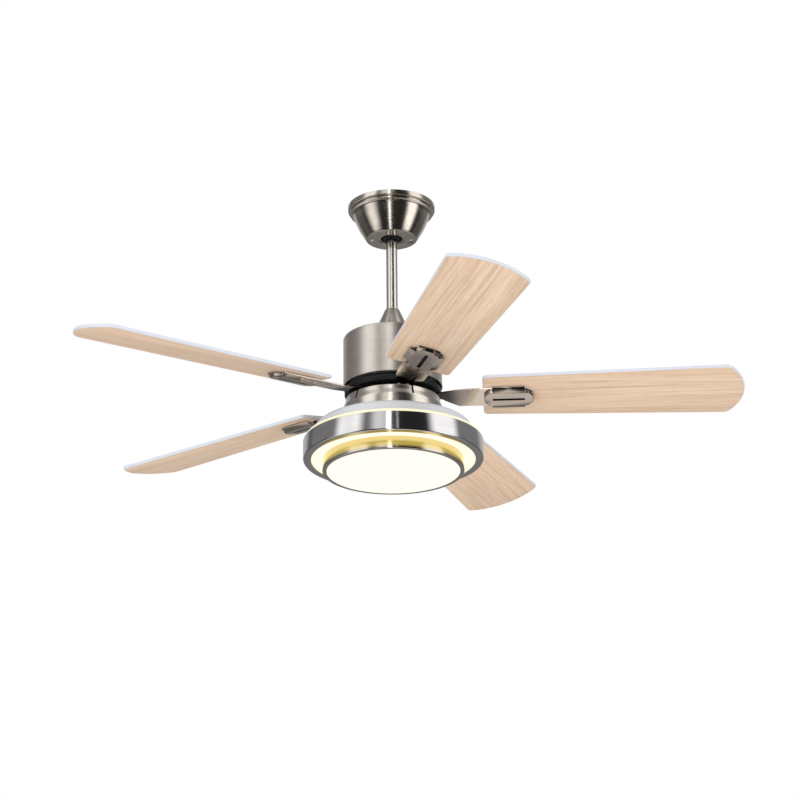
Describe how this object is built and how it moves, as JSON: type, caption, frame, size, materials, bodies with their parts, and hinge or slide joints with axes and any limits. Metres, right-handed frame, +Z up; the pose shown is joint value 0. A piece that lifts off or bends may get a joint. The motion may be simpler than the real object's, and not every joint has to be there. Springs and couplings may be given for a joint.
{
  "type": "ceiling fan with light",
  "caption": "Ceiling fan on a short rod: pitched wooden blades on nickel arms turn round a cylindrical motor, above a stepped round light with a glowing ring and centre.",
  "frame": {"origin": "on the fan's axis at the top face of the hanger bracket, in the plane of the ceiling", "axes": "+Z up into the ceiling along the fan's axis; +X along the hanger bracket's top plate"},
  "size_m": [1.2309, 1.2651, 0.5418],
  "materials": {
    "brushed_nickel": "brushed, clear lacquered",
    "polished_nickel": "polished nickel plate",
    "galvanised_steel": "dull zinc plate",
    "cast_aluminium": "as cast",
    "black_enamel": "semi-gloss black",
    "bearing_steel": "ground",
    "core_steel": "stacked laminations",
    "copper_wire": "enamelled copper",
    "ferrite": "sintered magnet",
    "light_oak": "light oak face, satin",
    "white_nylon": "moulded",
    "dark_plastic": "moulded",
    "frosted_acrylic": "frosted, satin",
    "lit_acrylic": "frosted, lit from behind",
    "led_board": "white solder mask"
  },
  "bodies": {
    "mount": {"hanger_bracket": "galvanised_steel", "canopy": "brushed_nickel", "canopy_screw_left": "polished_nickel", "canopy_screw_right": "polished_nickel", "receiver_box": "dark_plastic", "terminal_block": "white_nylon"},
    "ball_seat": {"ball_seat_ring": "white_nylon"},
    "suspension": {"hanger_ball": "dark_plastic", "ball_pin": "galvanised_steel", "downrod": "brushed_nickel", "motor_yoke": "cast_aluminium", "yoke_pin": "galvanised_steel", "cotter_pin": "galvanised_steel", "motor_cover": "brushed_nickel", "motor_shaft": "bearing_steel", "stator_core": "core_steel", "upper_winding": "copper_wire", "lower_winding": "copper_wire", "upper_bearing_inner": "bearing_steel", "lower_bearing_inner": "bearing_steel", "lower_mount_plate": "galvanised_steel", "shaft_nut": "galvanised_steel", "lower_housing": "brushed_nickel", "capacitor": "dark_plastic", "light_pan": "galvanised_steel", "led_driver": "white_nylon", "upper_diffuser": "frosted_acrylic", "upper_led_board": "led_board", "outer_led_board": "led_board", "inner_pan": "galvanised_steel", "centre_led_board": "led_board", "outer_ring": "brushed_nickel", "ring_diffuser": "lit_acrylic", "inner_ring": "brushed_nickel", "centre_diffuser": "lit_acrylic"},
    "cover": {"coupling_cover": "brushed_nickel"},
    "rotor": {"rotor_upper_shell": "cast_aluminium", "rotor_lower_shell": "cast_aluminium", "magnet_ring": "ferrite", "flywheel": "black_enamel", "upper_bearing_outer": "bearing_steel", "lower_bearing_outer": "bearing_steel", "blade_arm_1": "polished_nickel", "blade_arm_2": "polished_nickel", "blade_arm_3": "polished_nickel", "blade_arm_4": "polished_nickel", "blade_arm_5": "polished_nickel", "blade_plaque_1": "polished_nickel", "blade_plaque_2": "polished_nickel", "blade_plaque_3": "polished_nickel", "blade_plaque_4": "polished_nickel", "blade_plaque_5": "polished_nickel", "blade_1": "light_oak", "blade_2": "light_oak", "blade_3": "light_oak", "blade_4": "light_oak", "blade_5": "light_oak"}
  },
  "joints": [
    {"name": "ball_tilt_x", "type": "hinge", "parent": "mount", "child": "ball_seat", "pos_m": [0, 0, -0.0485], "axis": [1, 0, 0], "range_deg": [-12, 12]},
    {"name": "ball_tilt_y", "type": "hinge", "parent": "ball_seat", "child": "suspension", "pos_m": [0, 0, -0.0485], "axis": [0, 1, 0], "range_deg": [-12, 12]},
    {"name": "cover_slide", "type": "slide", "parent": "suspension", "child": "cover", "axis": [0, 0, 1], "range_m": [0, 0.1]},
    {"name": "fan_spin", "type": "hinge", "parent": "suspension", "child": "rotor", "pos_m": [0, 0, -0.38], "axis": [0, 0, 1], "continuous": true}
  ]
}
